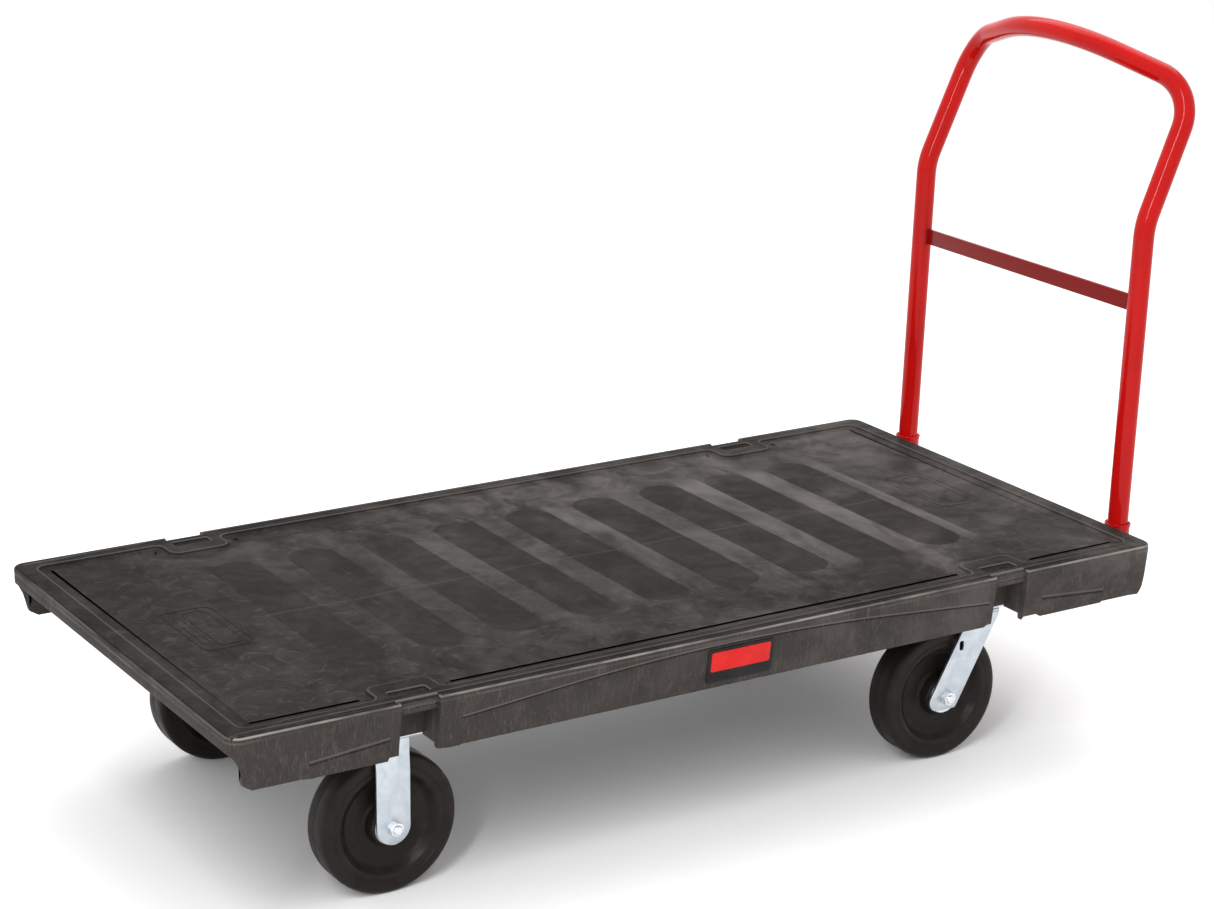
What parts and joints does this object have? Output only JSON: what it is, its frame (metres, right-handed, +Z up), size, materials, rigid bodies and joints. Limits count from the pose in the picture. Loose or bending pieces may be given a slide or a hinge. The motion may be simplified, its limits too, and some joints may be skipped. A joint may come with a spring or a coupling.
{
  "type": "platform cart",
  "caption": "Flat platform truck: moulded deck with skirts and tie-down slots, lift-out tube handle with crossbar, fixed casters at one end and swivel casters at the handle end.",
  "frame": {"origin": "on the floor, under the middle of the box that holds deck and handle", "axes": "+X along the deck towards the handle, +Y across the deck, +Z up"},
  "size_m": [1.6578, 0.762, 1.0472],
  "materials": {
    "deck_plastic": "swirl-marbled structural foam, satin",
    "channel_steel": "black-coated rolled steel",
    "plate_black": "smooth black",
    "inlay_red": "plain red",
    "red_paint": "glossy red powder coat",
    "insert_brass": "turned",
    "zinc_plate": "bright zinc plating over pressed steel",
    "wheel_resin": "dark brown-black moulded, semi-gloss",
    "seal_rubber": "moulded",
    "bearing_steel": "ground and hardened",
    "bolt_zinc": "bright zinc plating"
  },
  "bodies": {
    "deck_frame": {"deck": "deck_plastic", "channel_left": "channel_steel", "channel_right": "channel_steel", "channel_screws": "bolt_zinc", "side_plate_left": "plate_black", "side_plate_right": "plate_black", "side_inlay_left": "inlay_red", "side_inlay_right": "inlay_red", "handle_socket_left": "red_paint", "handle_socket_right": "red_paint", "socket_bolts": "bolt_zinc", "caster_bolts": "bolt_zinc", "threaded_inserts": "insert_brass", "rigid_fork_left": "zinc_plate", "rigid_fork_right": "zinc_plate", "rigid_axle_left": "bolt_zinc", "rigid_axle_right": "bolt_zinc", "rigid_nut_left": "bolt_zinc", "rigid_nut_right": "bolt_zinc", "rigid_sleeve_left": "bearing_steel", "rigid_sleeve_right": "bearing_steel", "rigid_washers_left": "bolt_zinc", "rigid_washers_right": "bolt_zinc", "swivel_plate_left": "zinc_plate", "swivel_plate_right": "zinc_plate", "kingpin_left": "bearing_steel", "kingpin_right": "bearing_steel", "kingpin_nut_left": "bolt_zinc", "kingpin_nut_right": "bolt_zinc", "upper_balls_left": "bearing_steel", "upper_balls_right": "bearing_steel", "lower_balls_left": "bearing_steel", "lower_balls_right": "bearing_steel", "lower_race_left": "bearing_steel", "lower_race_right": "bearing_steel", "dust_ring_left": "seal_rubber", "dust_ring_right": "seal_rubber"},
    "handle": {"handle_tube": "red_paint", "handle_crossbar": "red_paint"},
    "front_wheel_left": {"rigid_wheel_left": "wheel_resin", "rigid_rollers_left": "bearing_steel"},
    "fork_left": {"swivel_yoke_left": "zinc_plate", "swivel_axle_left": "bolt_zinc", "swivel_nut_left": "bolt_zinc", "swivel_sleeve_left": "bearing_steel", "swivel_washers_left": "bolt_zinc"},
    "rear_wheel_left": {"swivel_wheel_left": "wheel_resin", "swivel_rollers_left": "bearing_steel"},
    "front_wheel_right": {"rigid_wheel_right": "wheel_resin", "rigid_rollers_right": "bearing_steel"},
    "fork_right": {"swivel_yoke_right": "zinc_plate", "swivel_axle_right": "bolt_zinc", "swivel_nut_right": "bolt_zinc", "swivel_sleeve_right": "bearing_steel", "swivel_washers_right": "bolt_zinc"},
    "rear_wheel_right": {"swivel_wheel_right": "wheel_resin", "swivel_rollers_right": "bearing_steel"}
  },
  "joints": [
    {"name": "handle_lift", "type": "slide", "parent": "deck_frame", "child": "handle", "axis": [0.0323, 0, 0.9995], "range_m": [0, 0.12]},
    {"name": "front_wheel_left_spin", "type": "hinge", "parent": "deck_frame", "child": "front_wheel_left", "pos_m": [-0.55686, -0.265, 0.1016], "axis": [0, 1, 0], "continuous": true},
    {"name": "fork_left_swivel", "type": "hinge", "parent": "deck_frame", "child": "fork_left", "pos_m": [0.42314, -0.265, 0.222], "axis": [0, 0, 1], "continuous": true},
    {"name": "rear_wheel_left_spin", "type": "hinge", "parent": "fork_left", "child": "rear_wheel_left", "pos_m": [0.37414, -0.265, 0.1016], "axis": [0, 1, 0], "continuous": true},
    {"name": "front_wheel_right_spin", "type": "hinge", "parent": "deck_frame", "child": "front_wheel_right", "pos_m": [-0.55686, 0.265, 0.1016], "axis": [0, 1, 0], "continuous": true},
    {"name": "fork_right_swivel", "type": "hinge", "parent": "deck_frame", "child": "fork_right", "pos_m": [0.42314, 0.265, 0.222], "axis": [0, 0, 1], "continuous": true},
    {"name": "rear_wheel_right_spin", "type": "hinge", "parent": "fork_right", "child": "rear_wheel_right", "pos_m": [0.37414, 0.265, 0.1016], "axis": [0, 1, 0], "continuous": true}
  ]
}
